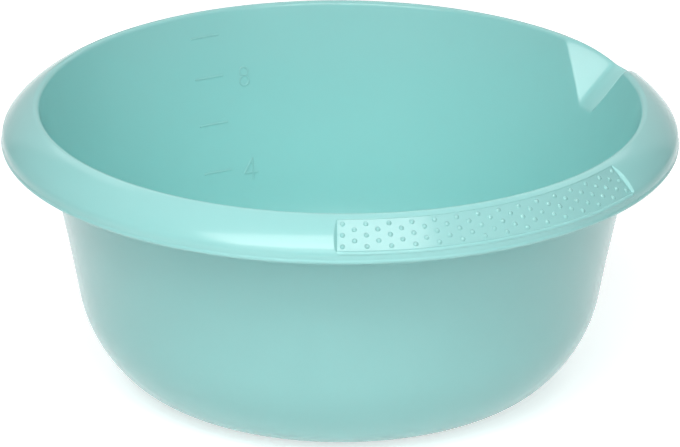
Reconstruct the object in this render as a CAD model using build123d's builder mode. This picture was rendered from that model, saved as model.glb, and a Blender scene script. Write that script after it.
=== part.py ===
from build123d import *
import os
from math import sin, cos, radians, degrees, hypot

os.makedirs("parts", exist_ok=True)

# A round washing up bowl, millimetres and degrees. The origin is the centre of the foot ring's
# underside, +Z points up and the pouring spout points along +X. The two grips lie along -Y and +Y.

# Bowl body
rim_diameter = 380.0
bowl_height = 163.7
wall = 2.3
low_corner_radius = 46.4
high_corner_radius = 76.0
low_corner_turn = 46.3
wall_foot_lean = 9.4
wall_top_lean = 15.1
foot_ring_height = 1.2
foot_ring_width = 4.0
foot_ring_inset = 2.5
gate_mark_diameter = 9.0
gate_mark_height = 0.6

# Rolled rim: a tight crest, a bulging slope outwards, a round shoulder and a short skirt with a bead
rim_width = 18.9
crest_radius = 2.8
slope_top_angle = 25.0
slope_foot_angle = 53.0
shoulder_radius = 7.5
skirt_length = 2.6
bead_radius = 1.55

# Pouring spout: a trough through the rim, with a floor that widens outwards and two leaning sides
spout_mouth_angle = 21.0
spout_inner_drop = 33.0
spout_inner_width = 13.0
spout_outer_drop = 13.0
spout_outer_width = 20.0
spout_outer_inset = 4.0
spout_wall = 2.3

# Grips: a flat recess in the bulging slope on each side, with a strip of studs bonded into it and a low
# rounded ridge below it. The flat lies a little deeper at its foot than at its top.
grip_angle = 58.0
grip_backing_angle = 60.0
grip_top_gap = 2.9
grip_foot_reach = 0.8
grip_top_depth = 0.2
grip_foot_depth = 0.9
strip_thickness = 0.7
grip_backing = 1.8
ridge_reach = 2.6
ridge_radius = 1.3
ridge_height = 0.45

# Studs on the grip strips, in columns that take turns between three studs and two
stud_diameter = 2.8
stud_height = 0.7
stud_round = 0.5
stud_side_border = 2.6
stud_end_border = 3.0
stud_pitch = 6.3
stud_row_shares = [(-1.0, 0.0, 1.0), (-0.5, 0.5)]

# Litre marks inside the wall, each two litres apart, and the numbers beside two of them
mark_drops = [13.9, 37.6, 64.8, 93.1]
mark_length = 19.0
mark_width = 1.3
mark_height = 0.3
mark_azimuth = 90.5
number_azimuth = 82.5
number_height = 12.0
number_stroke = 1.3
eight_drop = 39.8
four_drop = 94.4
eight_ring_shares = [0.29, 0.265]
four_shares = [(0.12, -0.5), (0.12, 0.5), (-0.32, -0.18), (0.34, -0.18)]

# Length by which a cut or a tool runs past what it trims
overrun = 5.0


# Headings are the tangent's angle above the horizontal, walking outwards from the axis
low_heading = low_corner_turn
foot_heading = 90.0 - wall_foot_lean
top_heading = 90.0 - wall_top_lean


def run_between(radius, start, end):
    """Horizontal length of an arc that turns from one heading to another."""
    return abs(radius * (sin(radians(end)) - sin(radians(start))))


def rise_between(radius, start, end):
    """Vertical length of an arc that turns from one heading to another."""
    return abs(radius * (cos(radians(start)) - cos(radians(end))))


# The inner skin: floor, two corner arcs, a slightly flared wall, and the rim's upper side
floor_level = foot_ring_height + wall
inner_low_radius = low_corner_radius - wall
inner_high_radius = high_corner_radius - wall
rim_r = rim_diameter / 2
crest_r = rim_r - rim_width
skirt_r = rim_r - (bead_radius - wall / 2)
wall_top_r = crest_r - crest_radius * sin(radians(top_heading))
wall_top_z = bowl_height - crest_radius + crest_radius * cos(radians(top_heading))
corner_top_z = (
    floor_level
    + rise_between(inner_low_radius, 0, low_heading)
    + rise_between(inner_high_radius, low_heading, foot_heading)
)
flare_radius = (wall_top_z - corner_top_z) / (cos(radians(top_heading)) - cos(radians(foot_heading)))
floor_r = (
    wall_top_r
    - run_between(flare_radius, foot_heading, top_heading)
    - run_between(inner_high_radius, low_heading, foot_heading)
    - run_between(inner_low_radius, 0, low_heading)
)
slope_run = (
    skirt_r
    - crest_r
    - run_between(crest_radius, 0, slope_top_angle)
    - run_between(shoulder_radius, slope_foot_angle, 90)
)
slope_radius = slope_run / (sin(radians(slope_foot_angle)) - sin(radians(slope_top_angle)))
skirt_top_drop = (
    rise_between(crest_radius, 0, slope_top_angle)
    + rise_between(slope_radius, slope_top_angle, slope_foot_angle)
    + rise_between(shoulder_radius, slope_foot_angle, 90)
)
rim_drop = skirt_top_drop + skirt_length + bead_radius


def section_plane(azimuth):
    """Upright plane through the axis whose X points outwards at the azimuth and whose Y points up."""
    a = radians(azimuth)
    return Plane(origin=(0, 0, 0), x_dir=(cos(a), sin(a), 0), z_dir=(sin(a), -cos(a), 0))


def flare_r(level):
    """Radius of the inner skin at a level on the flared part of the wall."""
    cosine = cos(radians(foot_heading)) + (level - corner_top_z) / flare_radius
    sine = (1 - cosine**2) ** 0.5
    foot_r = wall_top_r - run_between(flare_radius, foot_heading, top_heading)
    return foot_r + flare_radius * (sin(radians(foot_heading)) - sine)


# Sections are turned from the side away from the spout, so no seam runs through the trough
back_plane = section_plane(180)

# The section of the skin, from the axis to the lip
with BuildSketch(back_plane) as shell_section:
    with BuildLine() as inner_skin:
        floor = Line((0, floor_level), (floor_r, floor_level))
        low_arc = JernArc(floor @ 1, floor % 1, inner_low_radius, low_heading)
        high_arc = JernArc(low_arc @ 1, low_arc % 1, inner_high_radius, foot_heading - low_heading)
        flare = JernArc(high_arc @ 1, high_arc % 1, flare_radius, top_heading - foot_heading)
        crest = JernArc(flare @ 1, flare % 1, crest_radius, -(top_heading + slope_top_angle))
        slope = JernArc(crest @ 1, crest % 1, slope_radius, slope_top_angle - slope_foot_angle)
        shoulder = JernArc(slope @ 1, slope % 1, shoulder_radius, slope_foot_angle - 90)
        skirt = PolarLine(shoulder @ 1, skirt_length, direction=shoulder % 1)
        offset(amount=wall, side=Side.RIGHT, closed=True)
    make_face()

# The space under the rim, from the middle of the skin to a cone between the lip and the wall's foot,
# which trims what is built there
with BuildPart() as rim_space:
    with BuildSketch(back_plane):
        with BuildLine():
            with BuildLine(mode=Mode.PRIVATE) as middle_skin:
                add([flare, crest, slope, shoulder, skirt])
                offset(amount=wall / 2, side=Side.RIGHT, closed=False, mode=Mode.REPLACE)
            add(middle_skin.line)
            Line(middle_skin.line @ 1, middle_skin.line @ 0)
        make_face()
    revolve(axis=Axis.Z)

# The spout's trough, as trapezoids on upright planes across the +X axis
inner_lip_z = bowl_height - spout_inner_drop
inner_lip_x = flare_r(inner_lip_z)
outer_lip_z = bowl_height - spout_outer_drop
outer_lip_x = rim_r - spout_outer_inset
floor_climb = (outer_lip_z - inner_lip_z) / (outer_lip_x - inner_lip_x)
floor_spread = (spout_outer_width - spout_inner_width) / 2 / (outer_lip_x - inner_lip_x)
mouth_x = crest_r * cos(radians(spout_mouth_angle / 2))
mouth_y = crest_r * sin(radians(spout_mouth_angle / 2))


def trough_floor(x):
    """Level of the trough's floor, and half its width, at a distance from the axis."""
    level = inner_lip_z + floor_climb * (x - inner_lip_x)
    return level, spout_inner_width / 2 + floor_spread * (x - inner_lip_x)


mouth_floor_z, mouth_half_width = trough_floor(mouth_x)
side_spread = (mouth_y - mouth_half_width) / (bowl_height - mouth_floor_z)
floor_sink = spout_wall * hypot(1, floor_climb)
side_shift = spout_wall * hypot(1, side_spread, floor_spread - side_spread * floor_climb)


def trough(sink, shift):
    """Solid of the trough, its floor lowered and its sides moved apart, from the wall to past the rim."""
    with BuildPart() as solid:
        for x in (inner_lip_x - overrun, rim_r + overrun):
            level, half = trough_floor(x)
            low = level - sink
            low_half = half + shift - side_spread * sink
            top = bowl_height + overrun
            top_half = low_half + side_spread * (top - low)
            with BuildSketch(Plane(origin=(x, 0, 0), x_dir=(0, 1, 0), z_dir=(1, 0, 0))):
                with BuildLine():
                    Polyline((-low_half, low), (low_half, low), (top_half, top), (-top_half, top), close=True)
                make_face()
        loft(ruled=True)
    return solid.part


def across(way):
    """Outward normal of a direction that runs down the rim's slope."""
    return Vector(-way.Y, way.X)


# The flat of a grip, in the section's own axes: a straight line under the rim's bulging slope
skin_top = slope @ (grip_top_gap / slope.length)
skin_foot = shoulder @ (grip_foot_reach / shoulder.length)
skin_out = across((skin_foot - skin_top).normalized())
flat_top = skin_top - skin_out * grip_top_depth
flat_foot = skin_foot - skin_out * grip_foot_depth
flat_way = (flat_foot - flat_top).normalized()
flat_out = across(flat_way)

# The middle of the ridge's round section, in the same axes
ridge_share = ridge_reach / shoulder.length
ridge = shoulder @ ridge_share - across(shoulder % ridge_share) * (ridge_radius - ridge_height)


def grip_band(azimuth, shallow, deep):
    """Face on the plane at an azimuth, along a grip's flat, between two depths below it."""
    with BuildSketch(section_plane(azimuth)) as band:
        with BuildLine():
            Polyline(
                flat_top - flat_out * shallow,
                flat_foot - flat_out * shallow,
                flat_foot - flat_out * deep,
                flat_top - flat_out * deep,
                close=True,
            )
        make_face()
    return band.sketch


# The raised litre marks and numbers, as prisms that the band over the inner skin trims
def mark_plane(azimuth, drop):
    """Plane on the inner skin at a mark's level, seen from inside the bowl with X to the right."""
    a = radians(azimuth)
    level = bowl_height - drop
    origin = (flare_r(level) * cos(a), flare_r(level) * sin(a), level)
    return Plane(origin=origin, x_dir=(sin(a), -cos(a), 0), z_dir=(-cos(a), -sin(a), 0))


with BuildPart() as litre_marks:
    for drop in mark_drops:
        with BuildSketch(mark_plane(mark_azimuth, drop)):
            SlotOverall(mark_length, mark_width)
        extrude(amount=overrun, both=True)
    with BuildSketch(mark_plane(number_azimuth, eight_drop)):
        lower, upper = [share * number_height for share in eight_ring_shares]
        centres = {lower: (0, lower - number_height / 2), upper: (0, number_height / 2 - upper)}
        for ring, centre in centres.items():
            with Locations(centre):
                Circle(ring)
        for ring, centre in centres.items():
            with Locations(centre):
                Circle(ring - number_stroke, mode=Mode.SUBTRACT)
    extrude(amount=overrun, both=True)
    with BuildSketch(mark_plane(number_azimuth, four_drop)):
        corners = [(x * number_height, y * number_height) for x, y in four_shares]
        for start, end in zip(corners, corners[1:]):
            with BuildLine() as stroke:
                Line(start, end)
            trace(stroke.line, line_width=number_stroke)
    extrude(amount=overrun, both=True)
    with BuildSketch(back_plane):
        with BuildLine():
            buried = flare @ 0 + Vector((flare % 0).Y, -(flare % 0).X) * wall / 2
            JernArc(buried, flare % 0, flare_radius - wall / 2, top_heading - foot_heading)
            offset(amount=wall / 2 + mark_height, side=Side.LEFT, closed=True)
        make_face()
    revolve(axis=Axis.Z, mode=Mode.INTERSECT)

# One stud, standing on the section's origin along +Z
with BuildPart() as stud:
    with BuildSketch(Plane.XY.offset(-strip_thickness / 2)):
        Circle(stud_diameter / 2)
    extrude(amount=strip_thickness / 2 + stud_height)
    fillet(stud.edges().group_by(Axis.Z)[-1], stud_round)

# The moulded shell
with BuildPart() as bowl_shell:
    add(shell_section.sketch)
    revolve(axis=Axis.Z)
    with BuildSketch(back_plane):
        with Locations((skirt_r - wall / 2, bowl_height - rim_drop + bead_radius)):
            Circle(bead_radius)
    revolve(axis=Axis.Z)
    with BuildSketch(back_plane):
        with Locations((floor_r - foot_ring_inset - foot_ring_width / 2, (foot_ring_height + wall) / 2)):
            Rectangle(foot_ring_width, foot_ring_height + wall)
    revolve(axis=Axis.Z)
    with BuildSketch(Plane.XY.offset(floor_level)):
        Circle(gate_mark_diameter / 2)
    extrude(amount=-(wall + gate_mark_height))
    add(litre_marks.part)
    add(trough(floor_sink, side_shift) & rim_space.part)
    for azimuth in (-90, 90):
        backing = grip_band(
            azimuth - grip_backing_angle / 2, strip_thickness / 2, strip_thickness + grip_backing
        )
        revolve(backing, axis=Axis.Z, revolution_arc=grip_backing_angle)
        with BuildSketch(section_plane(azimuth - grip_angle / 2)) as ridge_end:
            with Locations((ridge.X, ridge.Y)):
                Circle(ridge_radius)
        revolve(ridge_end.sketch, axis=Axis.Z, revolution_arc=grip_angle)
    add(trough(0, 0), mode=Mode.SUBTRACT)
    for azimuth in (-90, 90):
        recess = grip_band(azimuth - grip_angle / 2, -overrun, strip_thickness)
        revolve(recess, axis=Axis.Z, revolution_arc=grip_angle, mode=Mode.SUBTRACT)
bowl_shell.part.label = "bowl_shell"
export_step(bowl_shell.part, "parts/bowl_shell.step")


def stud_places(azimuth):
    """Places of all the studs of one strip, each with its Z along the slope's outward normal."""
    middle = (flat_top + flat_foot) / 2
    row_reach = (flat_foot - flat_top).length / 2 - stud_side_border
    arc_length = middle.X * radians(grip_angle)
    column_count = 2 * int((arc_length - 2 * stud_end_border) / stud_pitch / 2) + 1
    column_step = (arc_length - 2 * stud_end_border) / (column_count - 1)
    places = []
    for column in range(column_count):
        turn = degrees((column - (column_count - 1) / 2) * column_step / middle.X)
        plane = section_plane(azimuth + turn)
        for share in stud_row_shares[column % len(stud_row_shares)]:
            foot = middle + flat_way * (share * row_reach)
            out = plane.x_dir * flat_out.X + plane.y_dir * flat_out.Y
            origin = plane.x_dir * foot.X + plane.y_dir * foot.Y
            places.append(Location(Plane(origin=origin, x_dir=plane.z_dir, z_dir=out)))
    return places


def grip_strip(azimuth):
    """One strip of studs, which fills its recess up to the grip's flat."""
    with BuildPart() as strip:
        band = grip_band(azimuth - grip_angle / 2, 0, strip_thickness)
        revolve(band, axis=Axis.Z, revolution_arc=grip_angle)
        add([stud.part.moved(place) for place in stud_places(azimuth)])
    return strip.part


right_grip_strip = grip_strip(-90)
right_grip_strip.label = "right_grip_strip"
export_step(right_grip_strip, "parts/right_grip_strip.step")

left_grip_strip = grip_strip(90)
left_grip_strip.label = "left_grip_strip"
export_step(left_grip_strip, "parts/left_grip_strip.step")
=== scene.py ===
"""Looks of a round washing up bowl: a mint moulded shell, two studded grip pads and its litre marks.

Lengths are millimetres until a mesh is made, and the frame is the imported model's: origin under the
middle of the foot ring, +Z up, the spout along +X, the grips along -Y and +Y.
"""

import logging
import math
from dataclasses import dataclass, field
from enum import Enum

import bpy
import numpy as np
from mathutils import Matrix, Vector

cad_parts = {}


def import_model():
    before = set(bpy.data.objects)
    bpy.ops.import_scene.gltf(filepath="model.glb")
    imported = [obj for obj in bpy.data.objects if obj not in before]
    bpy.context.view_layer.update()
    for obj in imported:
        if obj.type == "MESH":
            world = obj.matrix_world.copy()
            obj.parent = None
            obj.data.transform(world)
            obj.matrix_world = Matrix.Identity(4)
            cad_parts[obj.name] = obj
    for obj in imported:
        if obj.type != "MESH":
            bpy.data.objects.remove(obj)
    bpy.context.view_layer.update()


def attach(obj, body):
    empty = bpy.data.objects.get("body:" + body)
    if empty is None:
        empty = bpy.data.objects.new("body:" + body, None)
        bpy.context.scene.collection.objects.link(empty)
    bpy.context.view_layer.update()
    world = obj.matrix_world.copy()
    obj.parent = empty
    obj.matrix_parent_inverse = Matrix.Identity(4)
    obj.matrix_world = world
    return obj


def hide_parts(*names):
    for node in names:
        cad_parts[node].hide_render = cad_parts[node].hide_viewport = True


LOG = logging.getLogger("washing_up_bowl")
MM = 0.001
IMAGE_WIDTH = 680


def linear(colour: str) -> tuple[float, float, float, float]:
    """Turns an sRGB hex colour into the linear RGBA that shaders take.

    Args:
        colour: Six hex digits with a leading hash.

    Returns:
        Linear red, green, blue and an alpha of one.
    """
    parts = [int(colour[i : i + 2], 16) / 255 for i in (1, 3, 5)]
    r, g, b = (p / 12.92 if p <= 0.04045 else ((p + 0.055) / 1.055) ** 2.4 for p in parts)
    return (r, g, b, 1.0)


def smooth_over(x: np.ndarray, width: float) -> np.ndarray:
    """The larger of x and zero, with its corner rounded over about the width."""
    return 0.5 * (x + np.sqrt(x * x + width * width))


def smooth_lower(a: np.ndarray, b: np.ndarray, width: float) -> np.ndarray:
    """The lower of two surfaces, with the crease between them rounded over about the width."""
    return a - smooth_over(a - b, width)


def even(count: int) -> np.ndarray:
    """Evenly spaced shares from zero up to, but not with, one."""
    return np.linspace(0, 1, count, endpoint=False)


class Path:
    """A plane curve of straight runs and arcs, walked outwards from the axis in the section's r and z."""

    def __init__(self, start: tuple[float, float], heading: float) -> None:
        """Starts at a point, with the tangent's angle above the horizontal in degrees."""
        self.ends: list[float] = [0.0]
        self.starts: list[tuple[float, float, float, float]] = []
        self.point = start
        self.heading = math.radians(heading)

    def run(self, length: float, radius: float = 0.0, turn: float = 0.0) -> "Path":
        """Adds a straight run, or an arc when a radius and a turn are given.

        Args:
            length: Length of a straight run, unused for an arc.
            radius: Radius of an arc.
            turn: Angle that an arc turns by in degrees, upwards when positive.

        Returns:
            This path, so that calls can follow one another.
        """
        bend = math.copysign(1 / radius, turn) if radius else 0.0
        length = radius * abs(math.radians(turn)) if radius else length
        self.starts.append((*self.point, self.heading, bend))
        self.ends.append(self.ends[-1] + length)
        r, z, heading = self.at(np.array([self.ends[-1]]))
        self.point = (float(r[0]), float(z[0]))
        self.heading = float(heading[0])
        return self

    def at(self, s: np.ndarray) -> tuple[np.ndarray, np.ndarray, np.ndarray]:
        """Point and heading at arc lengths: the start plus the integral of the heading's cosine and sine.

        Args:
            s: Arc lengths from the path's start.

        Returns:
            Arrays of r, z and heading in radians.
        """
        begun = np.array(self.ends[: len(self.starts)])
        index = np.clip(np.searchsorted(begun, s, side="right") - 1, 0, len(begun) - 1)
        r0, z0, h0, bend = np.array(self.starts)[index].reshape(*np.shape(s), 4).transpose(
            -1, *range(np.ndim(s))
        )
        t = s - begun[index]
        heading = h0 + bend * t
        straight = np.abs(bend) < 1e-12
        safe = np.where(straight, 1.0, bend)
        r = np.where(straight, r0 + np.cos(h0) * t, r0 + (np.sin(heading) - np.sin(h0)) / safe)
        z = np.where(straight, z0 + np.sin(h0) * t, z0 - (np.cos(heading) - np.cos(h0)) / safe)
        return r, z, heading


@dataclass
class BowlSection:
    """The section of the skin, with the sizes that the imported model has."""

    rim_diameter: float = 380.0
    height: float = 163.7
    wall: float = 2.3
    low_corner_radius: float = 46.4
    high_corner_radius: float = 76.0
    low_corner_turn: float = 46.3
    wall_foot_lean: float = 9.4
    wall_top_lean: float = 15.1
    foot_ring_height: float = 1.2
    foot_ring_width: float = 4.0
    foot_ring_inset: float = 2.5
    gate_mark_radius: float = 4.5
    gate_mark_height: float = 0.6
    rim_width: float = 18.9
    crest_radius: float = 2.8
    slope_top_angle: float = 25.0
    slope_foot_angle: float = 53.0
    shoulder_radius: float = 7.5
    skirt_length: float = 2.6
    bead_radius: float = 1.55
    grip_top_gap: float = 2.9
    grip_foot_reach: float = 0.8
    grip_top_depth: float = 0.2
    grip_foot_depth: float = 0.9
    ridge_reach: float = 2.6
    ridge_radius: float = 1.3
    ridge_height: float = 0.45
    path: Path = field(init=False)

    def __post_init__(self) -> None:
        """Walks the inner skin: floor, corner arcs, flared wall, crest, bulging slope, shoulder, skirt."""
        foot, top = 90 - self.wall_foot_lean, 90 - self.wall_top_lean
        slope_top, slope_foot = self.slope_top_angle, self.slope_foot_angle
        low, high = self.low_corner_radius - self.wall, self.high_corner_radius - self.wall
        turn = self.low_corner_turn
        sine = {a: math.sin(math.radians(a)) for a in (0, turn, foot, top, slope_top, slope_foot)}
        cosine = {a: math.cos(math.radians(a)) for a in sine}
        self.floor_level = self.foot_ring_height + self.wall
        self.crest_r = self.rim_diameter / 2 - self.rim_width
        self.skirt_r = self.rim_diameter / 2 - (self.bead_radius - self.wall / 2)
        wall_top_r = self.crest_r - self.crest_radius * sine[top]
        wall_top_z = self.height - self.crest_radius * (1 - cosine[top])
        corner_top_z = self.floor_level + low * (1 - cosine[turn])
        corner_top_z += high * (cosine[turn] - cosine[foot])
        flare = (wall_top_z - corner_top_z) / (cosine[top] - cosine[foot])
        self.floor_r = (
            wall_top_r
            - flare * (sine[foot] - sine[top])
            - high * (sine[foot] - sine[turn])
            - low * sine[turn]
        )
        across = self.skirt_r - self.crest_r - self.crest_radius * sine[slope_top]
        across -= self.shoulder_radius * (1 - sine[slope_foot])
        slope_radius = across / (sine[slope_foot] - sine[slope_top])
        self.path = (
            Path((0.0, self.floor_level), 0.0)
            .run(self.floor_r)
            .run(0, low, turn)
            .run(0, high, foot - turn)
            .run(0, flare, top - foot)
            .run(0, self.crest_radius, -(top + slope_top))
            .run(0, slope_radius, slope_top - slope_foot)
            .run(0, self.shoulder_radius, slope_foot - 90)
            .run(self.skirt_length)
        )
        names = ("start", "floor", "low", "high", "flare", "crest", "slope", "shoulder", "skirt")
        self.ends = dict(zip(names, self.path.ends))
        table = np.linspace(self.ends["floor"], self.ends["skirt"], 24000)
        r, z, heading = self.path.at(table)
        self.table = table
        self.top = (r, z)
        self.under = (r + self.wall * np.sin(heading), z - self.wall * np.cos(heading))
        self.bead = (self.skirt_r - self.wall / 2, self.path.point[1])
        self.bead_out_s = self.bead_crossing(self.top)
        self.bead_in_s = self.bead_crossing(self.under)
        self.grip_top_s = self.ends["crest"] + self.grip_top_gap
        self.grip_foot_s = self.ends["slope"] + self.grip_foot_reach
        self.ridge_s = self.ends["slope"] + self.ridge_reach
        self.ridge_half = math.sqrt(self.ridge_radius**2 - (self.ridge_radius - self.ridge_height) ** 2)

    def arc_at_level(self, level: np.ndarray) -> np.ndarray:
        """Arc length at a level on the inside of the wall."""
        keep = self.table < self.ends["flare"]
        return np.interp(level, self.top[1][keep], self.table[keep])

    def bead_crossing(self, side: tuple[np.ndarray, np.ndarray]) -> float:
        """Arc length where a side of the skin enters the bead's circle."""
        away = np.hypot(side[0] - self.bead[0], side[1] - self.bead[1])
        return float(self.table[np.argmax(away < self.bead_radius)])

    def offset(self, s: np.ndarray, depth: float) -> tuple[np.ndarray, np.ndarray]:
        """Points a depth under the inner skin: the path's point moved along its right-hand normal."""
        r, z, heading = self.path.at(s)
        return r + depth * np.sin(heading), z - depth * np.cos(heading)

    def flat(self) -> tuple[np.ndarray, np.ndarray, np.ndarray]:
        """The straight line across a grip, under the slope: its top, its foot and its outward normal."""
        r, z, _ = self.path.at(np.array([self.grip_top_s, self.grip_foot_s]))
        upper, lower = np.array([r[0], z[0]]), np.array([r[1], z[1]])
        way = (lower - upper) / np.linalg.norm(lower - upper)
        out = np.array([-way[1], way[0]])
        upper, lower = upper - out * self.grip_top_depth, lower - out * self.grip_foot_depth
        way = (lower - upper) / np.linalg.norm(lower - upper)
        return upper, lower, np.array([-way[1], way[0]])


@dataclass
class Spout:
    """The V-shaped trough through the rim along +X, with a floor that widens and climbs outwards."""

    mouth_angle: float = 21.0
    inner_drop: float = 33.0
    inner_width: float = 13.0
    outer_drop: float = 13.0
    outer_width: float = 20.0
    outer_inset: float = 4.0
    wall: float = 2.3
    reach: float = 20.0
    corner: float = 1.6
    crease: float = 1.8

    def surface(self, section: BowlSection, r: np.ndarray, theta: np.ndarray, under: bool) -> np.ndarray:
        """Level of the trough at points of the plan: a climbing floor, plus two sides that lean outwards.

        Args:
            section: The section that the trough cuts.
            r: Distances from the axis.
            theta: Azimuths in radians.
            under: True for the underside of the trough's skin.

        Returns:
            Levels, far above the rim away from the spout.
        """
        inner_z = section.height - self.inner_drop
        outer_z = section.height - self.outer_drop
        inner_x = float(section.path.at(section.arc_at_level(np.array([inner_z])))[0][0])
        outer_x = section.rim_diameter / 2 - self.outer_inset
        climb = (outer_z - inner_z) / (outer_x - inner_x)
        spread = (self.outer_width - self.inner_width) / 2 / (outer_x - inner_x)
        half_mouth = math.radians(self.mouth_angle / 2)
        mouth_x = section.crest_r * math.cos(half_mouth)
        mouth_floor = inner_z + climb * (mouth_x - inner_x)
        mouth_half = self.inner_width / 2 + spread * (mouth_x - inner_x)
        lean = (section.crest_r * math.sin(half_mouth) - mouth_half) / (section.height - mouth_floor)
        x, y = r * np.cos(theta), np.abs(r * np.sin(theta))
        floor = inner_z + climb * (x - inner_x)
        half = self.inner_width / 2 + spread * (x - inner_x)
        if under:
            sink = self.wall * math.hypot(1, climb)
            floor = floor - sink
            half = half + self.wall * math.hypot(1, lean, spread - lean * climb) - lean * sink
        level = floor + smooth_over(y - half, self.corner) / lean
        return np.where(np.abs(np.degrees(theta)) < self.reach, level, section.height * 10)


@dataclass
class Grip:
    """One of the two grips, with its recess and its studs."""

    angle: float = 58.0
    backing_angle: float = 60.0
    strip_thickness: float = 0.7
    backing: float = 1.8
    stud_diameter: float = 2.8
    stud_height: float = 0.7
    stud_side_border: float = 2.6
    stud_end_border: float = 3.0
    stud_pitch: float = 6.3
    row_shares: tuple[tuple[float, ...], ...] = ((-1.0, 0.0, 1.0), (-0.5, 0.5))
    joint_gap: float = 0.04
    edge_round: float = 0.1
    wall_round: float = 0.1
    ridge_taper: float = 1.5
    wall_reach: float = 4.5
    plate_sink: float = 0.02


def make_piece(name: str, points: np.ndarray, faces: list[list[int]] | np.ndarray) -> bpy.types.Object:
    """Puts millimetre points and faces into a smooth shaded mesh object at the origin.

    Args:
        name: The piece's name.
        points: Array of n by 3 points in millimetres.
        faces: Index lists, outward when seen anticlockwise.

    Returns:
        The new object, linked to the scene.
    """
    mesh = bpy.data.meshes.new(name)
    mesh.from_pydata((points * MM).tolist(), [], [list(map(int, f)) for f in faces])
    mesh.validate()
    mesh.polygons.foreach_set("use_smooth", np.ones(len(mesh.polygons), bool))
    mesh.update()
    piece = bpy.data.objects.new(name, mesh)
    bpy.context.scene.collection.objects.link(piece)
    return piece


def grid_faces(rows: int, columns: int, close: bool, first: int = 0) -> np.ndarray:
    """Quads of a grid whose point (i, j) has index first + i * columns + j.

    Args:
        rows: Number of rows.
        columns: Number of columns.
        close: True when the last column joins the first.
        first: Index of the grid's first point.

    Returns:
        Array of quads, four indices each.
    """
    i, j = np.meshgrid(np.arange(rows - 1), np.arange(columns if close else columns - 1), indexing="ij")
    k = (j + 1) % columns
    quads = np.stack([i * columns + j, (i + 1) * columns + j, (i + 1) * columns + k, i * columns + k], -1)
    return quads.reshape(-1, 4) + first


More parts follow.
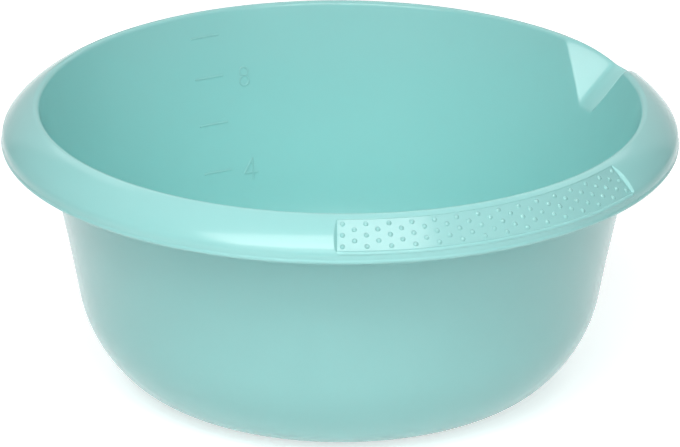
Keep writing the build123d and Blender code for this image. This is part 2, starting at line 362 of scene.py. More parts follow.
class Shell:
    """The moulded bowl: one closed skin on a grid of section rows and azimuth columns."""

    def __init__(self, section: BowlSection, spout: Spout, grip: Grip) -> None:
        """Keeps the sizes and works out the columns."""
        self.section = section
        self.spout = spout
        self.grip = grip
        self.columns = self.azimuths()

    def azimuths(self) -> np.ndarray:
        """Azimuths of the columns in degrees: every 2, a quarter at the spout, close at the grips' ends."""
        fine = np.arange(-14, 14.001, 0.25)
        coarse = np.arange(-180, 180, 2.0)
        coarse = coarse[np.abs(coarse) > 14.5]
        ends = []
        backing = (-0.1, -0.03, 0.03, 0.3)
        recess = [-0.5, -0.3, -0.15, -0.006, 0.006, *np.arange(0.06, 0.66, 0.06)]
        for middle in (-90, 90):
            for side in (-1, 1):
                ends += [middle + side * (self.grip.angle / 2 + step) for step in recess]
                ends += [middle + side * (self.grip.backing_angle / 2 + step) for step in backing]
        ends = np.array(ends)
        coarse = coarse[np.min(np.abs(coarse[:, None] - ends[None, :]), axis=1) > 0.2]
        return np.sort(np.concatenate([fine, coarse, ends]))

    def cut(self, side: tuple[np.ndarray, np.ndarray], other: np.ndarray) -> tuple[np.ndarray, np.ndarray]:
        """Arc lengths where a lower surface begins and stops cutting a side of the skin, for each column.

        Args:
            side: The side's r and z over the section's table.
            other: Levels of the cutting surface over the table, one column each.

        Returns:
            First and last arc length of each column's cut, equal to zero where there is none.
        """
        table = self.section.table
        inside = (side[1][:, None] > other) & (table[:, None] > self.section.ends["high"])
        any_cut = inside.any(axis=0)
        first = table[np.argmax(inside, axis=0)]
        last = table[len(table) - 1 - np.argmax(inside[::-1], axis=0)]
        return np.where(any_cut, first, 0.0), np.where(any_cut, last, 0.0)

    @staticmethod
    def spread(
        low: np.ndarray | float, high: np.ndarray | float, shares: np.ndarray, count: int
    ) -> np.ndarray:
        """Rows of values between two ends at given shares, for each of the columns."""
        low = np.broadcast_to(np.asarray(low, float), (count,))
        high = np.broadcast_to(np.asarray(high, float), (count,))
        return low[None, :] + shares[:, None] * (high - low)[None, :]

    def top_rows(self, theta: np.ndarray) -> tuple[np.ndarray, np.ndarray]:
        """Rows of the upper side, from near the axis to the bead.

        Args:
            theta: Azimuths in radians.

        Returns:
            Arrays of r and z, one row per station and one column per azimuth.
        """
        c, e, n = self.section, self.section.ends, len(theta)
        other = self.spout.surface(c, c.top[0][:, None], theta[None, :], False)
        first, last = self.cut(c.top, other)
        cut = first > 0
        begin = np.where(cut, np.minimum(e["flare"], first - 1.5), e["flare"])
        stop = np.where(cut, np.maximum(e["crest"], last + 0.9), e["crest"])
        depth = np.clip((c.top[1][:, None] - other).max(axis=0) / 4, 0, 1)
        blend = np.where(cut, depth, 0.0)
        eased = 0.5 - 0.5 * np.cos(np.pi * even(44))
        rows = [
            self.spread(e["floor"] * 0.08, e["floor"], even(7), n),
            self.spread(e["floor"], e["low"], even(14), n),
            self.spread(e["low"], e["high"], even(10), n),
            self.spread(e["high"], begin, even(14), n),
        ]
        s = np.concatenate(rows)
        r, z, _ = c.path.at(s)
        lip_s = self.spread(begin, stop, even(44), n)
        lip_r = c.path.at(lip_s)[0]
        straight = self.spread(c.path.at(begin)[0], c.path.at(stop)[0], eased, n)
        lip_r = (1 - blend) * lip_r + blend * straight
        lip_z = np.interp(lip_r, *c.top)
        stations = self.rim_stations()
        rest_s = self.spread(stop, c.bead_out_s, (stations - e["crest"]) / (c.bead_out_s - e["crest"]), n)
        rest_r, rest_z = self.shape_grips(theta, rest_s)
        r = np.concatenate([r, lip_r, rest_r])
        z = np.concatenate([z, lip_z, rest_z])
        level = self.spout.surface(c, r, np.broadcast_to(theta, r.shape), False)
        return r, np.where(level < z + 12, smooth_lower(z, level, self.spout.crease), z)

    def rim_stations(self) -> np.ndarray:
        """Arc lengths of the rows from the crest to the bead, close together at the recess and the ridge."""
        c = self.section
        top, foot, ridge, half = c.grip_top_s, c.grip_foot_s, c.ridge_s, c.ridge_half
        return np.concatenate(
            [
                np.linspace(c.ends["crest"], top - 0.3, 7),
                top + np.array([-0.2, -0.1, -0.01, 0.01]),
                np.linspace(top + 0.3, foot - 0.3, 24),
                foot + np.array([-0.01, 0.01, 0.15, 0.3, 0.45, 0.6, 0.75]),
                np.linspace(ridge - half, ridge + half, 13),
                np.linspace(ridge + half + 0.25, c.bead_out_s, 7),
            ]
        )

    def shape_grips(self, theta: np.ndarray, s: np.ndarray) -> tuple[np.ndarray, np.ndarray]:
        """Rows of the rim's outer side, with the recess and the ridge of each grip.

        Where the pad lies, the skin goes down to the pad's underside. Round it the skin goes down to the
        grip's flat by the height over the flat less the distance from the pad, which gives a wall at 45.

        Args:
            theta: Azimuths in radians.
            s: Arc lengths, one row per station and one column per azimuth.

        Returns:
            Arrays of r and z.
        """
        c, g = self.section, self.grip
        r, z, heading = c.path.at(s)
        upper, _, out = c.flat()
        turn = np.broadcast_to(np.abs(np.abs(np.degrees(theta)) - 90), s.shape)
        over = (r - upper[0]) * out[0] + (z - upper[1]) * out[1]
        past_end = np.radians(np.maximum(turn - g.angle / 2, 0)) * r
        past_side = np.maximum(np.maximum(c.grip_top_s - s, s - c.grip_foot_s), 0)
        away = np.hypot(past_end, past_side)
        wall = np.where(away < g.wall_reach, smooth_over(over - away, g.wall_round), 0)
        drop = np.where(away > 0, wall, over + g.strip_thickness)
        taper = np.clip(np.radians(g.angle / 2 - turn) * r / g.ridge_taper, 0, 1)
        round_top = np.sqrt(np.maximum(c.ridge_radius**2 - (s - c.ridge_s) ** 2, 0))
        bump = np.maximum(round_top - c.ridge_radius + c.ridge_height, 0)
        bump = bump * taper * taper * (3 - 2 * taper)
        return r - out[0] * drop - np.sin(heading) * bump, z - out[1] * drop + np.cos(heading) * bump

    def under_rows(self, theta: np.ndarray) -> tuple[np.ndarray, np.ndarray]:
        """Rows from the bead round the underside of the rim and down the outside of the wall to the floor.

        Args:
            theta: Azimuths in radians.

        Returns:
            Arrays of r and z, one row per station and one column per azimuth.
        """
        c, e, n = self.section, self.section.ends, len(theta)
        out_r, out_z, _ = c.path.at(np.array([c.bead_out_s]))
        in_r, in_z = c.offset(np.array([c.bead_in_s]), c.wall)
        start = math.atan2(float(out_z[0]) - c.bead[1], float(out_r[0]) - c.bead[0])
        end = math.atan2(float(in_z[0]) - c.bead[1], float(in_r[0]) - c.bead[0])
        turn = np.linspace(start, end - 2 * math.pi, 22)[1:]
        bead_r = np.broadcast_to((c.bead[0] + c.bead_radius * np.cos(turn))[:, None], (len(turn), n))
        bead_z = np.broadcast_to((c.bead[1] + c.bead_radius * np.sin(turn))[:, None], (len(turn), n))
        other = self.under_surface(c.under[0][:, None], theta[None, :])
        first, last = self.cut(c.under, other)
        cut = first > 0
        wide = np.where(cut, np.minimum(last + 0.3, c.bead_in_s - 0.5), e["crest"])
        wide = np.maximum(wide, e["crest"])
        low = np.where(cut, np.minimum(e["flare"], first - 0.4), e["flare"])
        eased = 0.5 - 0.5 * np.cos(np.pi * even(18))
        s = self.spread(c.bead_in_s, wide, np.linspace(0, 1, 10, endpoint=False)[1:], n)
        skirt_r, skirt_z = c.offset(s, c.wall)
        hollow_s = self.spread(wide, low, even(18), n)
        hollow_r = c.offset(hollow_s, c.wall)[0]
        straight = self.spread(c.offset(wide, c.wall)[0], c.offset(low, c.wall)[0], eased, n)
        hollow_r = np.where(cut, straight, hollow_r)
        hollow_z = np.interp(hollow_r, *c.under)
        wall_s = np.concatenate(
            [
                self.spread(low, e["high"], even(14), n),
                self.spread(e["high"], e["low"], even(10), n),
                self.spread(e["low"], e["floor"], even(12), n),
            ]
        )
        wall_r, wall_z = c.offset(wall_s, c.wall)
        foot = np.array(self.foot_points())
        foot_r = np.broadcast_to(foot[:, :1], (len(foot), n))
        foot_z = np.broadcast_to(foot[:, 1:], (len(foot), n))
        r = np.concatenate([skirt_r, hollow_r, wall_r])
        z = np.concatenate([skirt_z, hollow_z, wall_z])
        level = self.under_surface(r, np.broadcast_to(theta, r.shape))
        near = (level < z + 6) & (z > c.height - 60)
        z = np.where(near, smooth_lower(z, level, 0.5), z)
        return np.concatenate([bead_r, r, foot_r]), np.concatenate([bead_z, z, foot_z])

    def under_surface(self, r: np.ndarray, theta: np.ndarray) -> np.ndarray:
        """Level of what thickens the skin from below: the trough's skin, and the grips' flat backing."""
        upper, lower, out = self.section.flat()
        foot = upper - out * (self.grip.strip_thickness + self.grip.backing)
        fall = (lower[1] - upper[1]) / (lower[0] - upper[0])
        cone = foot[1] + fall * (r - foot[0])
        backed = np.abs(np.abs(np.degrees(theta)) - 90) < self.grip.backing_angle / 2
        trough = self.spout.surface(self.section, r, np.broadcast_to(theta, np.shape(r + theta)), True)
        return np.where(backed, cone, trough)

    def foot_points(self) -> list[tuple[float, float]]:
        """Stations of the base's underside: the foot ring, the flat and the gate mark in the middle."""
        c = self.section
        flat = c.foot_ring_height
        outer = c.floor_r - c.foot_ring_inset
        inner = outer - c.foot_ring_width
        ring = [
            (outer + 2.4, flat),
            (outer + 0.35, flat),
            (outer + 0.06, flat - 0.05),
            (outer, flat - 0.2),
            (outer, 0.3),
            (outer - 0.09, 0.09),
            (outer - 0.3, 0.0),
        ]
        back = [(inner + outer - r, z) for r, z in reversed(ring[:-1])]
        edge, deep = c.gate_mark_radius, flat - c.gate_mark_height
        mark = [
            (edge + 0.4, flat),
            (edge + 0.06, flat - 0.05),
            (edge, flat - 0.2),
            (edge - 0.1, deep + 0.07),
            (edge - 0.4, deep),
        ]
        return [*ring, (inner + 0.3, 0.0), *back, (60.0, flat), (30.0, flat), *mark]

    def build(self) -> bpy.types.Object:
        """Turns the rows round the axis, each point at (r cos a, r sin a, z), and closes both poles."""
        theta = np.radians(self.columns)
        top, under = self.top_rows(theta), self.under_rows(theta)
        r = np.concatenate([top[0], under[0]])
        z = np.concatenate([top[1], under[1]])
        rows, count = r.shape
        grid = np.stack([r * np.cos(theta), r * np.sin(theta), z], -1).reshape(-1, 3)
        gate_level = self.section.foot_ring_height - self.section.gate_mark_height
        poles = np.array([[0, 0, self.section.floor_level], [0, 0, gate_level]])
        points = np.concatenate([grid, poles])
        j = np.arange(count)
        k = (j + 1) % count
        middle = np.stack([np.full(count, rows * count), j, k], -1)
        last = (rows - 1) * count
        below = np.stack([np.full(count, rows * count + 1), last + k, last + j], -1)
        faces = [*grid_faces(rows, count, True).tolist(), *middle.tolist(), *below.tolist()]
        LOG.info("shell: %d rows, %d columns", rows, count)
        return make_piece("bowl_body", points, faces)


class GripPad:
    """One studded pad that lies in a grip's recess."""

    def __init__(self, section: BowlSection, grip: Grip, azimuth: float, name: str) -> None:
        """Keeps the pad's place and sizes."""
        self.section = section
        self.grip = grip
        self.azimuth = azimuth
        self.name = name

    def body(self) -> tuple[np.ndarray, list[list[int]]]:
        """The pad's plate: a loop with rounded upper corners, carried along the grip's arc and capped.

        Returns:
            Points in millimetres and faces.
        """
        g, (upper, lower, out) = self.grip, self.section.flat()
        length = float(np.linalg.norm(lower - upper))
        way = (lower - upper) / length
        deep = g.strip_thickness + g.plate_sink
        near, far, bend = g.joint_gap, length - g.joint_gap, g.edge_round
        arc = np.linspace(0, math.pi / 2, 5)
        along = np.concatenate(
            [
                [near, near],
                near + bend - bend * np.cos(arc[1:]),
                np.linspace(near + 2 * bend, far - 2 * bend, 12),
                far - bend + bend * np.sin(arc[:-1]),
                [far, far],
            ]
        )
        depth = np.concatenate(
            [
                [deep, bend],
                bend - bend * np.sin(arc[1:]),
                np.zeros(12),
                bend - bend * np.cos(arc[:-1]),
                [bend, deep],
            ]
        )
        loop = upper[None, :] + along[:, None] * way[None, :] - depth[:, None] * out[None, :]
        half = g.angle / 2 - math.degrees(g.joint_gap / self.section.crest_r)
        step = math.degrees(bend / self.section.crest_r)
        turns = np.concatenate(
            [[-half, -half + 0.3 * step, -half + step], np.linspace(-half + 0.6, half - 0.6, 58)]
        )
        turns = np.concatenate([turns, [half - step, half - 0.3 * step, half]])
        fall = np.interp(np.abs(turns), [half - step, half - 0.3 * step, half], [0.0, 0.3 * bend, bend])
        theta = np.radians(self.azimuth + turns)
        lowered = np.where(depth < bend, 1.0, 0.0)[:, None] * fall[None, :]
        r = loop[:, :1] - lowered * out[0]
        z = loop[:, 1:] - lowered * out[1]
        points = np.stack([r * np.cos(theta), r * np.sin(theta), z], -1)
        rows, count = r.shape
        ring = np.arange(rows)
        after = (ring + 1) % rows
        faces = []
        for j in range(count - 1):
            faces += np.stack(
                [ring * count + j, after * count + j, after * count + j + 1, ring * count + j + 1], -1
            ).tolist()
        faces.append((ring[::-1] * count).tolist())
        faces.append((ring * count + count - 1).tolist())
        return points.reshape(-1, 3), faces

    def stud(self) -> tuple[np.ndarray, list[list[int]]]:
        """One domed stud on +Z: rings of a spherical cap, with a last ring sunk below its foot.

        Returns:
            Points in millimetres and faces.
        """
        radius, height, segments = self.grip.stud_diameter / 2, self.grip.stud_height, 16
        ball = (radius**2 + height**2) / (2 * height)
        lean = math.asin(radius / ball) * np.array([0.25, 0.5, 0.75, 1.0])
        rho = np.append(ball * np.sin(lean), radius)
        level = np.append(ball * np.cos(lean) - ball + height, -0.3)
        phi = np.linspace(0, 2 * math.pi, segments, endpoint=False)
        rise = np.repeat(level[:, None], segments, 1)
        grid = np.stack([rho[:, None] * np.cos(phi), rho[:, None] * np.sin(phi), rise], -1)
        points = np.concatenate([[[0, 0, height]], grid.reshape(-1, 3)])
        j = np.arange(segments)
        k = (j + 1) % segments
        faces = np.stack([np.zeros(segments, int), 1 + j, 1 + k], -1).tolist()
        faces += grid_faces(len(rho), segments, True, 1).tolist()
        faces.append((1 + (len(rho) - 1) * segments + j[::-1]).tolist())
        return points, faces

    def places(self) -> tuple[np.ndarray, np.ndarray]:
        """Where the studs stand: columns along the arc that take turns between three rows and two.

        Returns:
            Azimuths in degrees and shares of the outer rows' reach across the pad, one pair per stud.
        """
        g, (upper, lower, _) = self.grip, self.section.flat()
        middle = (upper + lower) / 2
        arc = middle[0] * math.radians(g.angle)
        count = 2 * int((arc - 2 * g.stud_end_border) / g.stud_pitch / 2) + 1
        step = (arc - 2 * g.stud_end_border) / (count - 1)
        turns, shares = [], []
        for column in range(count):
            for share in g.row_shares[column % len(g.row_shares)]:
                turns.append(math.degrees((column - (count - 1) / 2) * step / middle[0]))
                shares.append(share)
        return np.array(turns), np.array(shares)

    def build(self) -> bpy.types.Object:
        """Joins the plate and all its studs in one mesh."""
        g, (upper, lower, out) = self.grip, self.section.flat()
        length = float(np.linalg.norm(lower - upper))
        way = (lower - upper) / length
        middle = (upper + lower) / 2
        reach = length / 2 - g.stud_side_border
        points, faces = self.body()
        stud_points, stud_faces = self.stud()
        turns, shares = self.places()
        a = np.radians(self.azimuth + turns)
        outward = np.stack([np.cos(a), np.sin(a), np.zeros_like(a)], -1)
        side = np.stack([-np.sin(a), np.cos(a), np.zeros_like(a)], -1)
        rise = np.array([0.0, 0.0, 1.0])
        foot = middle[None, :] + shares[:, None] * reach * way[None, :]
        centre = outward * foot[:, :1] + rise * foot[:, 1:]
        down = outward * way[0] + rise * way[1]
        normal = outward * out[0] + rise * out[1]
        studs = (
            centre[:, None, :]
            + stud_points[None, :, 0, None] * down[:, None, :]
            + stud_points[None, :, 1, None] * side[:, None, :]
            + stud_points[None, :, 2, None] * normal[:, None, :]
        )
        first = len(points)
        for index in range(len(turns)):
            base = first + index * len(stud_points)
            faces += [[base + v for v in face] for face in stud_faces]
        LOG.info("%s: %d studs", self.name, len(turns))
        return make_piece(self.name, np.concatenate([points, studs.reshape(-1, 3)]), faces)


@dataclass
class LitreMarks:
    """The raised bars and numbers inside the wall."""

    drops: tuple[float, ...] = (13.9, 37.6, 64.8, 93.1)
    length: float = 19.0
    width: float = 1.3
    height: float = 0.3
    azimuth: float = 90.5
    number_azimuth: float = 82.5
    number_height: float = 12.0
    eight_drop: float = 39.8
    four_drop: float = 94.4
    eight_shares: tuple[float, float] = (0.29, 0.265)
    four_shares: tuple[tuple[float, float], ...] = ((0.12, -0.5), (0.12, 0.5), (-0.32, -0.18), (0.34, -0.18))

    def place(
        self, section: BowlSection, azimuth: float, drop: float, u: np.ndarray, v: np.ndarray
    ) -> tuple[np.ndarray, np.ndarray, np.ndarray]:
        """Puts flat points on the inside of the wall, seen from inside with u to the right and v up.

        Args:
            section: The bowl's section.
            azimuth: Azimuth of the flat drawing's middle in degrees.
            drop: Depth of its middle below the crest.
            u: Distances to the right.
            v: Distances upwards.

        Returns:
            Points on the wall, the wall's tangent to the right, and its normal into the bowl.
        """
        level = section.height - drop + v
        r, z, heading = section.path.at(section.arc_at_level(level))
        a = math.radians(azimuth)
        near = float(section.path.at(section.arc_at_level(np.array([section.height - drop])))[0][0])
        turn = np.arctan2(near * math.sin(a) - u * math.cos(a), near * math.cos(a) + u * math.sin(a))
        points = np.stack([r * np.cos(turn), r * np.sin(turn), z], -1)
        right = np.stack([np.sin(turn), -np.cos(turn), np.zeros_like(turn)], -1)
        normal = np.stack(
            [-np.sin(heading) * np.cos(turn), -np.sin(heading) * np.sin(turn), np.cos(heading)], -1
        )
        return points, right, normal

    def ridge(
        self, section: BowlSection, azimuth: float, drop: float, line: np.ndarray, closed: bool
    ) -> tuple[np.ndarray, list[list[int]]]:
        """A low rounded ridge: an oval loop carried along a line on the wall, tapered at open ends.

        Args:
            section: The bowl's section.
            azimuth: Azimuth of the drawing's middle in degrees.
            drop: Depth of its middle below the crest.
            line: Flat points (u, v) along the ridge.
            closed: True when the last point joins the first.

        Returns:
            Points in millimetres and faces.
        """
        middle, right, normal = self.place(section, azimuth, drop, line[:, 0], line[:, 1])
        along = np.roll(middle, -1, 0) - np.roll(middle, 1, 0)
        if not closed:
            along[0], along[-1] = middle[1] - middle[0], middle[-1] - middle[-2]
        along /= np.linalg.norm(along, axis=1)[:, None]
        side = np.cross(normal, along)
        half = self.width / 2
        gone = np.concatenate([[0.0], np.cumsum(np.linalg.norm(np.diff(line, axis=0), axis=1))])
        ends = np.minimum(gone, gone[-1] - gone) / half
        shrink = np.ones(len(line)) if closed else np.sqrt(1 - (1 - np.clip(ends, 0.04, 1)) ** 2)
        t = np.linspace(0, 2 * math.pi, 14, endpoint=False)
        across = half * np.sign(np.cos(t)) * np.abs(np.cos(t)) ** 0.75
        up = np.where(np.sin(t) > 0, self.height * np.abs(np.sin(t)) ** 0.75, 0.4 * np.sin(t))
        points = (
            middle[:, None, :]
            + (shrink[:, None] * across[None, :])[..., None] * side[:, None, :]
            + (shrink[:, None] ** 0.5 * up[None, :])[..., None] * normal[:, None, :]
        )
        rows, count = points.shape[:2]
        faces = grid_faces(rows, count, True)
        if closed:
            joined = grid_faces(2, count, True)
            joined = np.where(joined >= count, joined - count, joined + (rows - 1) * count)
            return points.reshape(-1, 3), np.concatenate([faces, joined]).tolist()
        caps = [list(range(count)), [(rows - 1) * count + i for i in reversed(range(count))]]
        return points.reshape(-1, 3), [*faces.tolist(), *caps]

    def stroke(self, start: tuple[float, float], end: tuple[float, float]) -> np.ndarray:
        """Flat points along a straight stroke, closer together at its rounded ends."""
        t = 0.5 - 0.5 * np.cos(np.linspace(0, math.pi, 28))
        a, b = np.array(start), np.array(end)
        reach = (b - a) / np.linalg.norm(b - a) * self.width / 2
        return (a - reach)[None, :] + t[:, None] * (b - a + 2 * reach)[None, :]

    def build(self, section: BowlSection) -> bpy.types.Object:
        """Makes the four bars, the two rings of the 8 and the three strokes of the 4 as one piece."""
        parts = []
        reach = self.length / 2 - self.width / 2
        for drop in self.drops:
            bar = self.stroke((-reach, 0.0), (reach, 0.0))
            parts.append(self.ridge(section, self.azimuth, drop, bar, False))
        lower, upper = (share * self.number_height for share in self.eight_shares)
        turn = np.linspace(0, 2 * math.pi, 40, endpoint=False)
        for ring, rise in ((lower, lower - self.number_height / 2), (upper, self.number_height / 2 - upper)):
            radius = ring - self.width / 2
            loop = np.stack([radius * np.cos(turn), rise + radius * np.sin(turn)], -1)
            parts.append(self.ridge(section, self.number_azimuth, self.eight_drop, loop, True))
        corners = [(x * self.number_height, y * self.number_height) for x, y in self.four_shares]
        for start, end in zip(corners, corners[1:]):
            line = self.stroke(start, end)
            parts.append(self.ridge(section, self.number_azimuth, self.four_drop, line, False))
        points, faces, first = [], [], 0
        for part_points, part_faces in parts:
            points.append(part_points)
            faces += [[first + v for v in face] for face in part_faces]
            first += len(part_points)
        return make_piece("litre_marks", np.concatenate(points), faces)


def add_node(
    tree: bpy.types.NodeTree, kind: str, settings: dict | None = None, **inputs: object
) -> bpy.types.Node:
    """Adds one node, sets its properties and fills or links its sockets.

    Args:
        tree: The node tree.
        kind: The node's type name.
        settings: Properties of the node by name.
        inputs: Sockets by name with underscores for spaces, or by index after an i, with a value or an
            output each.

    Returns:
        The new node.
    """
    node = tree.nodes.new(kind)
    for name, value in (settings or {}).items():
        setattr(node, name, value)
    for name, value in inputs.items():
        socket = node.inputs[int(name[1:]) if name[1:].isdigit() else name.replace("_", " ")]
        if isinstance(value, bpy.types.NodeSocket):
            tree.links.new(value, socket)
        else:
            socket.default_value = value
    return node


@dataclass(frozen=True)
class MouldedPolypropylene:
    """Glossy polypropylene from a polished mould: faint orange peel, a little light under its skin."""

    name: str
    colour: str = "#a2e0dd"
    deeper: str = "#9eddda"
    roughness: tuple[float, float] = (0.13, 0.2)
    peel_mm: float = 3.5
    peel_height_mm: float = 0.006
    grain_mm: float = 0.5
    grain_height_mm: float = 0.0012
    flow_mm: float = 70.0

    def material(self) -> bpy.types.Material:
        """Builds the node material: flow shades in the colour, and peel and grain in the bump and gloss."""
        material = bpy.data.materials.new(self.name)
        material.use_nodes = True
        tree = material.node_tree
        tree.nodes.clear()
        where = add_node(tree, "ShaderNodeTexCoord").outputs["Object"]
        noise = "ShaderNodeTexNoise"
        flow_scale, peel_scale, grain_scale = (
            1 / (size * MM) for size in (self.flow_mm, self.peel_mm, self.grain_mm)
        )
        flow = add_node(tree, noise, None, Vector=where, Scale=flow_scale, Detail=2.0)
        tint = add_node(
            tree,
            "ShaderNodeMix",
            {"data_type": "RGBA"},
            i0=flow.outputs["Fac"],
            i6=linear(self.colour),
            i7=linear(self.deeper),
        )
        peel = add_node(tree, noise, None, Vector=where, Scale=peel_scale, Detail=1.0)
        grain = add_node(tree, noise, None, Vector=where, Scale=grain_scale, Detail=1.0)
        low, high = self.roughness
        rough = add_node(
            tree,
            "ShaderNodeMapRange",
            None,
            Value=peel.outputs["Fac"],
            To_Min=low,
            To_Max=high,
        )
        waves = add_node(
            tree,
            "ShaderNodeBump",
            None,
            Strength=1.0,
            Distance=self.peel_height_mm * MM,
            Height=peel.outputs["Fac"],
        )
        fine = add_node(
            tree,
            "ShaderNodeBump",
            None,
            Strength=1.0,
            Distance=self.grain_height_mm * MM,
            Height=grain.outputs["Fac"],
            Normal=waves.outputs["Normal"],
        )
        plastic = add_node(
            tree,
            "ShaderNodeBsdfPrincipled",
            None,
            Base_Color=tint.outputs[2],
            Roughness=rough.outputs["Result"],
            IOR=1.49,
            Normal=fine.outputs["Normal"],
            Subsurface_Weight=0.12,
            Subsurface_Radius=(0.004, 0.006, 0.006),
            Subsurface_Scale=1.0,
        )
        add_node(tree, "ShaderNodeOutputMaterial", None, Surface=plastic.outputs["BSDF"])
        return material


class Slot(Enum):
    """The record's material slots."""

    BOWL = "bowl_plastic"
    GRIP = "grip_plastic"


@dataclass(frozen=True)
class Softbox:
    """One soft rectangle of light, placed with the camera on the -Y side, turned after it is tilted."""

    name: str
    middle: tuple[float, float, float]
    size: tuple[float, float]
    power: float
    turn: float
    facing: tuple[float, float, float]


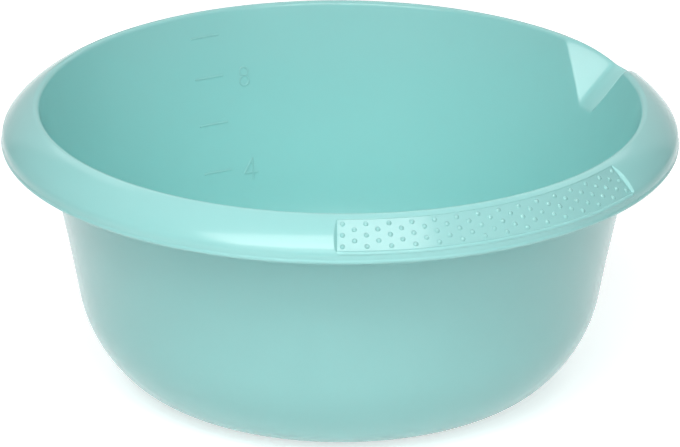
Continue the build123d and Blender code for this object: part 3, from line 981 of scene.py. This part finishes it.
@dataclass
class Studio:
    """A pale floor, a pale surround, softboxes over and round the bowl, and the camera."""

    focal_px: float = 5000.0
    elevation: float = 21.79
    distance: float = 14.736
    shift: tuple[float, float] = (0.001, -0.3607)
    roll: float = 0.282
    turn: float = -28.5
    half_rim: float = 190.0
    crest_height: float = 163.7
    surround: float = 0.02
    reflected_surround: float = 0.39
    reflected_ceiling: float = 1.08
    ceiling_edges: tuple[float, float] = (0.6, 0.95)
    floor_glow: float = 0.6
    boxes: tuple[Softbox, ...] = (
        Softbox("top_softbox", (-0.19, -0.83, 1.25), (1.36, 0.6), 11.7, 5.7, (0.0, 0.0, -1.0)),
        Softbox("front_softbox", (0.0, -2.05, 1.6), (3.6, 1.8), 38.5, 0.0, (0.0, 2.05, -1.5)),
        Softbox("left_softbox", (-2.2, 0.0, 1.2), (2.4, 2.4), 1.2, -90.0, (0.0, 2.2, -0.9)),
        Softbox("right_softbox", (2.2, 0.0, 1.2), (2.4, 2.4), 0.89, 90.0, (0.0, 2.2, -0.9)),
        Softbox("back_softbox", (0.0, 2.4, 1.0), (4.0, 2.0), 9.03, 180.0, (0.0, 2.4, -0.8)),
        Softbox("backtop_softbox", (0.0, 1.6, 1.9), (3.0, 1.2), 13.0, 180.0, (0.0, 1.6, -1.75)),
    )

    def turned(self, x: float, y: float, z: float) -> Vector:
        """A point given with the camera on the -Y side, turned about the axis into the model's frame."""
        a = math.radians(self.turn)
        return Vector((x * math.cos(a) - y * math.sin(a), x * math.sin(a) + y * math.cos(a), z))

    def camera(self) -> bpy.types.Object:
        """Places the camera where the photograph's one stood."""
        e, roll = math.radians(self.elevation), math.radians(self.roll)
        right, up = Vector((1, 0, 0)), Vector((0, math.sin(e), math.cos(e)))
        back = Vector((0, -math.cos(e), math.sin(e)))
        right, up = (
            math.cos(roll) * right + math.sin(roll) * up,
            math.cos(roll) * up - math.sin(roll) * right,
        )
        centre = self.distance * back - self.shift[0] * right + self.shift[1] * up
        place = centre * self.half_rim * MM + Vector((0, 0, self.crest_height * MM))
        data = bpy.data.cameras.new("camera")
        data.sensor_width = 36.0
        data.lens = self.focal_px * data.sensor_width / IMAGE_WIDTH
        data.clip_start, data.clip_end = 0.05, 60.0
        camera = bpy.data.objects.new("camera", data)
        axes = [self.turned(*v) for v in (right, up, back)]
        camera.matrix_world = Matrix.Translation(self.turned(*place)) @ Matrix(axes).transposed().to_4x4()
        bpy.context.scene.collection.objects.link(camera)
        bpy.context.scene.camera = camera
        return camera

    def floor(self) -> bpy.types.Object:
        """A wide flat floor, which the camera and reflections see paler than it lights the object."""
        mesh = bpy.data.meshes.new("floor")
        far = 12.0
        corners = [(-far, -far, 0), (far, -far, 0), (far, far, 0), (-far, far, 0)]
        mesh.from_pydata(corners, [], [(0, 1, 2, 3)])
        floor = bpy.data.objects.new("floor", mesh)
        bpy.context.scene.collection.objects.link(floor)
        material = bpy.data.materials.new("matt_white_paper")
        material.use_nodes = True
        tree = material.node_tree
        tree.nodes.clear()
        ray = add_node(tree, "ShaderNodeLightPath").outputs
        larger = {"operation": "MAXIMUM"}
        seen = add_node(tree, "ShaderNodeMath", larger, i0=ray["Is Camera Ray"], i1=ray["Is Glossy Ray"])
        seen = add_node(tree, "ShaderNodeMath", larger, i0=seen.outputs[0], i1=ray["Is Transmission Ray"])
        tint = add_node(
            tree,
            "ShaderNodeMix",
            {"data_type": "RGBA"},
            i0=seen.outputs[0],
            i6=linear("#e6e6e6"),
            i7=linear("#ffffff"),
        )
        matt = add_node(tree, "ShaderNodeBsdfDiffuse", None, Color=tint.outputs[2])
        glow = add_node(tree, "ShaderNodeEmission", None, Strength=self.floor_glow)
        lit = add_node(tree, "ShaderNodeAddShader", None, i0=matt.outputs[0], i1=glow.outputs[0])
        shade = add_node(
            tree, "ShaderNodeMixShader", None, i0=seen.outputs[0], i1=matt.outputs["BSDF"], i2=lit.outputs[0]
        )
        add_node(tree, "ShaderNodeOutputMaterial", None, Surface=shade.outputs[0])
        mesh.materials.append(material)
        return floor

    def world(self) -> None:
        """A surround that is white to the camera and, to reflections, pale with a brighter ceiling."""
        world = bpy.data.worlds.new("surround")
        world.use_nodes = True
        tree = world.node_tree
        tree.nodes.clear()
        ray = add_node(tree, "ShaderNodeLightPath").outputs
        larger = {"operation": "MAXIMUM"}
        seen = add_node(
            tree, "ShaderNodeMath", larger, i0=ray["Is Camera Ray"], i1=ray["Is Transmission Ray"]
        )
        way = add_node(tree, "ShaderNodeTexCoord").outputs["Generated"]
        mirrored = add_node(
            tree,
            "ShaderNodeMapRange",
            {"interpolation_type": "SMOOTHSTEP"},
            Value=add_node(tree, "ShaderNodeSeparateXYZ", None, Vector=way).outputs["Z"],
            From_Min=self.ceiling_edges[0],
            From_Max=self.ceiling_edges[1],
            To_Min=self.reflected_surround,
            To_Max=self.reflected_ceiling,
        )
        level = add_node(
            tree,
            "ShaderNodeMapRange",
            None,
            Value=ray["Is Glossy Ray"],
            To_Min=self.surround,
            To_Max=mirrored.outputs["Result"],
        )
        level = add_node(tree, "ShaderNodeMath", larger, i0=level.outputs["Result"], i1=seen.outputs[0])
        light = add_node(tree, "ShaderNodeBackground", None, Color=(1, 1, 1, 1), Strength=level.outputs[0])
        add_node(tree, "ShaderNodeOutputWorld", None, Surface=light.outputs["Background"])
        bpy.context.scene.world = world

    def lamp(self, box: Softbox) -> bpy.types.Object:
        """Makes one softbox, tilted from straight down to the way it faces and then turned about Z."""
        data = bpy.data.lights.new(box.name, "AREA")
        data.shape = "RECTANGLE"
        data.size, data.size_y = box.size
        data.energy = box.power
        lamp = bpy.data.objects.new(box.name, data)
        tilt = math.atan2(box.facing[1], -box.facing[2])
        axes = Matrix.Rotation(math.radians(self.turn + box.turn), 4, "Z") @ Matrix.Rotation(tilt, 4, "X")
        lamp.matrix_world = Matrix.Translation(self.turned(*box.middle)) @ axes
        bpy.context.scene.collection.objects.link(lamp)
        return lamp

    def build(self) -> None:
        """Makes the camera, the floor, the surround and the lamps."""
        self.camera()
        self.floor()
        self.world()
        for box in self.boxes:
            self.lamp(box)
        bpy.context.scene.view_settings.view_transform = "Standard"


def dress(piece: bpy.types.Object, material: bpy.types.Material, slot: Slot, *nodes: str) -> None:
    """Gives a piece its material and its body, and hides the CAD nodes that it stands for."""
    piece.data.materials.append(material)
    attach(piece, "root")
    if nodes:
        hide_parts(*nodes)
    LOG.info("%s: %d faces", piece.name, len(piece.data.polygons))


def main() -> None:
    """Loads the frame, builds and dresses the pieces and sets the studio."""
    logging.basicConfig(level=logging.INFO, format="%(message)s")
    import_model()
    section, spout, grip = BowlSection(), Spout(), Grip()
    bowl_plastic = MouldedPolypropylene("moulded_polypropylene_bowl").material()
    grip_plastic = MouldedPolypropylene("moulded_polypropylene_grip", roughness=(0.12, 0.18)).material()
    dress(Shell(section, spout, grip).build(), bowl_plastic, Slot.BOWL, "bowl_shell")
    dress(LitreMarks().build(section), bowl_plastic, Slot.BOWL)
    for azimuth, name in ((-90.0, "right_grip_strip"), (90.0, "left_grip_strip")):
        pad = GripPad(section, grip, azimuth, name.replace("strip", "pad")).build()
        dress(pad, grip_plastic, Slot.GRIP, name)
    Studio().build()


if __name__ == "__main__":
    main()
